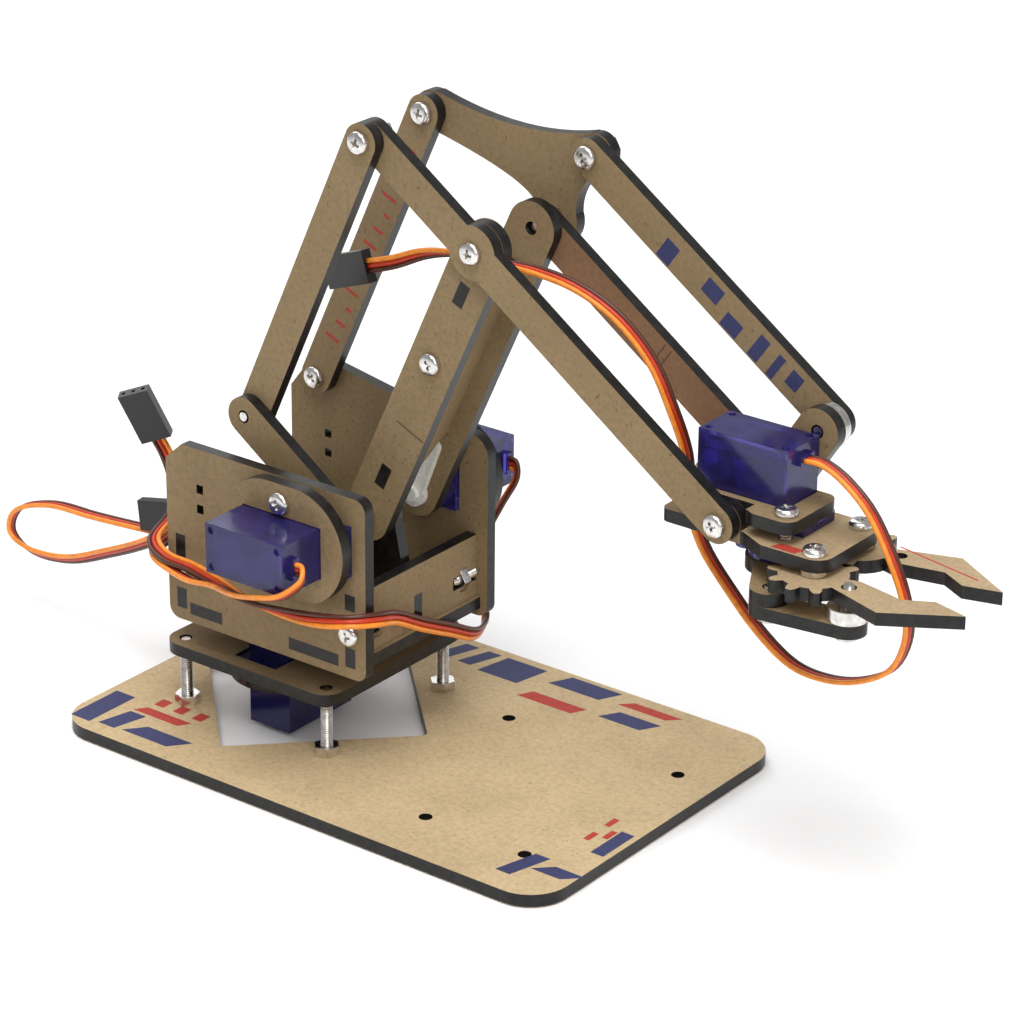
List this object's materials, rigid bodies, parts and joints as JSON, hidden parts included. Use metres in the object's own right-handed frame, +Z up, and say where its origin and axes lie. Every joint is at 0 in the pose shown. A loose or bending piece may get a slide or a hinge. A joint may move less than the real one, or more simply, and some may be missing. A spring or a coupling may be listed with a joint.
{
  "type": "desktop parallelogram robot arm",
  "caption": "Desktop robot arm of laser-cut sheet on a turntable: two servos drive a parallelogram linkage that keeps a geared two-jaw claw level.",
  "frame": {"origin": "foot of the turntable's axis, in the underside of the base plate", "axes": "+Z up along the turntable's axis, +X towards the claw, +Y towards the side of the shoulder servo"},
  "size_m": [0.2794, 0.095, 0.1544],
  "materials": {
    "papered_sheet": "kraft paper on both faces of black acrylic sheet",
    "bare_sheet": "bare black acrylic",
    "servo_plastic": "translucent blue plastic",
    "white_plastic": "white moulded plastic",
    "motor": "small motor and circuit board",
    "steel": "bright plated steel",
    "lead": "three soft wires side by side, brown, red and orange",
    "plug": "black plastic"
  },
  "bodies": {
    "base": {"base_plate": "papered_sheet", "standoff_bolts": "steel", "standoff_nuts": "steel", "servo_plate": "papered_sheet", "base_collar": "papered_sheet", "base_servo_case": "servo_plastic", "base_servo_lid": "servo_plastic", "base_servo_inside": "motor"},
    "turntable": {"yaw_shaft": "white_plastic", "yaw_horn": "white_plastic", "turntable_plate": "papered_sheet", "near_side_plate": "papered_sheet", "far_side_plate": "papered_sheet", "front_plate": "papered_sheet", "rear_plate": "papered_sheet", "centre_plate": "bare_sheet", "frame_screws": "steel", "side_collars": "papered_sheet", "near_servo_case": "servo_plastic", "far_servo_case": "servo_plastic", "side_servo_lids": "servo_plastic", "side_servo_insides": "motor", "near_servo_lead": "lead", "near_lead_plug": "plug", "far_servo_lead": "lead", "far_lead_plug": "plug"},
    "main_arm": {"near_arm_plate": "papered_sheet", "far_arm_plate": "papered_sheet", "arm_brace": "papered_sheet", "arm_screws": "steel", "shoulder_shaft": "white_plastic", "shoulder_horn": "white_plastic"},
    "crank": {"elbow_crank": "papered_sheet", "elbow_shaft": "white_plastic", "elbow_horn": "white_plastic"},
    "crank_pin": {"crank_screw": "steel"},
    "push_link": {"push_link": "papered_sheet"},
    "y_piece": {"y_piece": "papered_sheet", "y_screws": "steel"},
    "anchor_link": {"anchor_link": "papered_sheet"},
    "forearm": {"near_beam": "papered_sheet", "far_beam": "papered_sheet", "forearm_screws": "steel", "hand_servo_lead": "lead", "hand_lead_plug": "plug"},
    "gripper_link": {"gripper_link": "papered_sheet"},
    "hand": {"hand_plate": "papered_sheet", "clamp_plate": "papered_sheet", "near_ear": "papered_sheet", "far_ear": "papered_sheet", "hand_screws": "steel", "hand_servo_case": "servo_plastic", "hand_servo_lid": "servo_plastic", "hand_servo_inside": "motor"},
    "near_jaw": {"near_jaw": "papered_sheet"},
    "far_jaw": {"far_jaw": "papered_sheet"},
    "claw_crank": {"claw_crank": "papered_sheet", "claw_drive": "white_plastic"},
    "claw_link": {"claw_link": "papered_sheet", "link_fasteners": "steel"}
  },
  "joints": [
    {"name": "base_yaw", "type": "hinge", "parent": "base", "child": "turntable", "pos_m": [0, 0, 0.02], "axis": [0, 0, 1], "range_deg": [-90, 90]},
    {"name": "shoulder", "type": "hinge", "parent": "turntable", "child": "main_arm", "pos_m": [0.021, 0, 0.058], "axis": [0, -1, 0], "range_deg": [-15, 30]},
    {"name": "elbow_drive", "type": "hinge", "parent": "turntable", "child": "crank", "pos_m": [0.021, 0, 0.058], "axis": [0, -1, 0], "range_deg": [-25, 15]},
    {"name": "crank_pin_turn", "type": "hinge", "parent": "crank", "child": "crank_pin", "pos_m": [-0.0076, 0, 0.07817], "axis": [0, -1, 0], "range_deg": [-15, 25]},
    {"name": "push_link_swing", "type": "hinge", "parent": "crank_pin", "child": "push_link", "pos_m": [-0.0076, 0, 0.07817], "axis": [0, -1, 0], "range_deg": [-15, 30]},
    {"name": "y_piece_level", "type": "hinge", "parent": "main_arm", "child": "y_piece", "pos_m": [0.05376, 0, 0.12989], "axis": [0, -1, 0], "range_deg": [-30, 15]},
    {"name": "anchor_link_swing", "type": "hinge", "parent": "turntable", "child": "anchor_link", "pos_m": [-0.014, 0, 0.0765], "axis": [0, -1, 0], "range_deg": [-15, 30]},
    {"name": "forearm_swing", "type": "hinge", "parent": "y_piece", "child": "forearm", "pos_m": [0.05376, 0, 0.12989], "axis": [0, -1, 0], "range_deg": [-25, 15]},
    {"name": "hand_level", "type": "hinge", "parent": "forearm", "child": "hand", "pos_m": [0.11954, 0, 0.08348], "axis": [0, -1, 0], "range_deg": [-15, 25], "deforming": ["hand_servo_lead"]},
    {"name": "gripper_link_swing", "type": "hinge", "parent": "y_piece", "child": "gripper_link", "pos_m": [0.06476, 0, 0.14729], "axis": [0, -1, 0], "range_deg": [-25, 15]},
    {"name": "near_jaw_swing", "type": "hinge", "parent": "hand", "child": "near_jaw", "pos_m": [0.14254, -0.0058, 0.07608], "axis": [0, 0, 1], "range_deg": [-12, 10]},
    {"name": "far_jaw_swing", "type": "hinge", "parent": "hand", "child": "far_jaw", "pos_m": [0.14254, 0.0122, 0.07608], "axis": [0, 0, 1], "range_deg": [-10, 12]},
    {"name": "claw_crank_turn", "type": "hinge", "parent": "hand", "child": "claw_crank", "pos_m": [0.12554, 0.0056, 0.07208], "axis": [0, 0, 1], "range_deg": [-1.98, 1.66]},
    {"name": "claw_link_swing", "type": "hinge", "parent": "claw_crank", "child": "claw_link", "pos_m": [0.13404, -0.0095, 0.06908], "axis": [0, 0, 1], "range_deg": [-3.52, 2.94]}
  ],
  "couplings": [
    {"joint": "crank_pin_turn", "follows": "elbow_drive", "ratio": -1},
    {"joint": "push_link_swing", "follows": "shoulder", "ratio": 1},
    {"joint": "y_piece_level", "follows": "shoulder", "ratio": -1},
    {"joint": "anchor_link_swing", "follows": "shoulder", "ratio": 1},
    {"joint": "forearm_swing", "follows": "elbow_drive", "ratio": 1},
    {"joint": "hand_level", "follows": "elbow_drive", "ratio": -1},
    {"joint": "gripper_link_swing", "follows": "elbow_drive", "ratio": 1},
    {"joint": "far_jaw_swing", "follows": "near_jaw_swing", "ratio": -1},
    {"joint": "claw_crank_turn", "follows": "near_jaw_swing", "ratio": 0.161},
    {"joint": "claw_link_swing", "follows": "near_jaw_swing", "ratio": 0.289}
  ]
}
